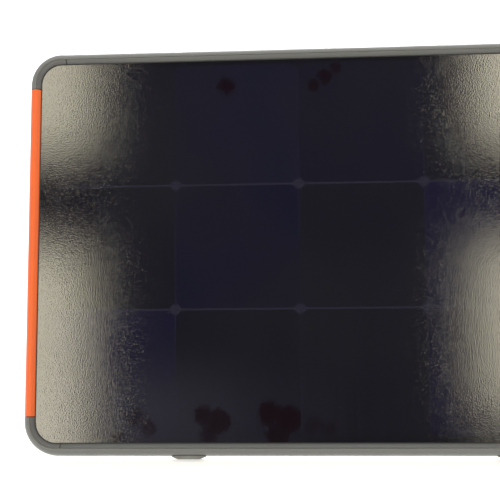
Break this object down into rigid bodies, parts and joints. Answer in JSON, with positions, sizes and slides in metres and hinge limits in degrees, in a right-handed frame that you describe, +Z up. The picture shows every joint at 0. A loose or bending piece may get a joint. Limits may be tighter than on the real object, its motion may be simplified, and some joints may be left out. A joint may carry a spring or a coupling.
{
  "type": "portable solar charging panel",
  "caption": "Framed portable solar panel that leans on a folding rear stand and charges phones through a covered USB controller.",
  "frame": {"origin": "bottom centre of the bounding box with the panel standing on its open stand", "axes": "+Z up; the panel's face looks towards -Y and leans back 28 degrees from upright; +X runs along its long side, to the right seen from the front"},
  "size_m": [0.5628, 0.2408, 0.3759],
  "materials": {
    "frame_plastic": "fine moulded texture",
    "bezel_plastic": "fine moulded texture",
    "grip_plastic": "satin",
    "front_film": "glossy with a fine embossed grain",
    "cell_silicon": "dark blue-black",
    "ribbon_metal": "tinned",
    "backing_sheet": "matt",
    "core_foam": "matt",
    "cover_plastic": "moulded texture",
    "rubber": "matt",
    "steel": "satin",
    "stand_metal": "anodised grey",
    "housing_plastic": "moulded texture",
    "board_laminate": "satin",
    "component_plastic": "matt",
    "light_lens": "clear tinted"
  },
  "bodies": {
    "leaf": {"frame_rim": "frame_plastic", "bezel_top": "bezel_plastic", "bezel_bottom": "bezel_plastic", "bezel_corner_top_left": "bezel_plastic", "bezel_corner_top_right": "bezel_plastic", "bezel_corner_bottom_left": "bezel_plastic", "bezel_corner_bottom_right": "bezel_plastic", "side_grip_left": "grip_plastic", "side_grip_right": "grip_plastic", "laminate_front": "front_film", "cell_1_1": "cell_silicon", "cell_1_2": "cell_silicon", "cell_1_3": "cell_silicon", "cell_1_4": "cell_silicon", "cell_2_1": "cell_silicon", "cell_2_2": "cell_silicon", "cell_2_3": "cell_silicon", "cell_2_4": "cell_silicon", "cell_3_1": "cell_silicon", "cell_3_2": "cell_silicon", "cell_3_3": "cell_silicon", "cell_3_4": "cell_silicon", "busbar_left": "ribbon_metal", "busbar_right": "ribbon_metal", "laminate_back": "backing_sheet", "core_board": "core_foam", "rear_cover": "cover_plastic", "gasket": "rubber", "rear_bumper_top_left": "rubber", "rear_bumper_top_right": "rubber", "rear_bumper_bottom_left": "rubber", "rear_bumper_bottom_right": "rubber", "edge_foot_left": "rubber", "edge_foot_right": "rubber", "stand_bracket_left": "steel", "stand_bracket_right": "steel", "stand_pin_left": "steel", "stand_pin_right": "steel", "usb_a_port": "steel", "usb_c_port": "steel", "port_cover_rod": "steel", "controller_housing": "housing_plastic", "controller_lid": "housing_plastic", "circuit_board": "board_laminate", "inductor": "component_plastic", "capacitor": "component_plastic", "regulator_chip": "component_plastic", "dc_socket": "component_plastic", "status_light": "light_lens"},
    "stand": {"stand_leg_left": "stand_metal", "stand_leg_right": "stand_metal", "stand_crossbar": "stand_metal", "stand_foot_left": "rubber", "stand_foot_right": "rubber"},
    "flap": {"port_cover": "rubber"}
  },
  "joints": [
    {"name": "stand_fold", "type": "hinge", "parent": "leaf", "child": "stand", "pos_m": [0, 0.0362, 0.27645], "axis": [1, 0, 0], "range_deg": [-44.39, 0]},
    {"name": "port_flap", "type": "hinge", "parent": "leaf", "child": "flap", "pos_m": [0, 0.01721, 0.19323], "axis": [1, 0, 0], "range_deg": [0, 115]}
  ]
}
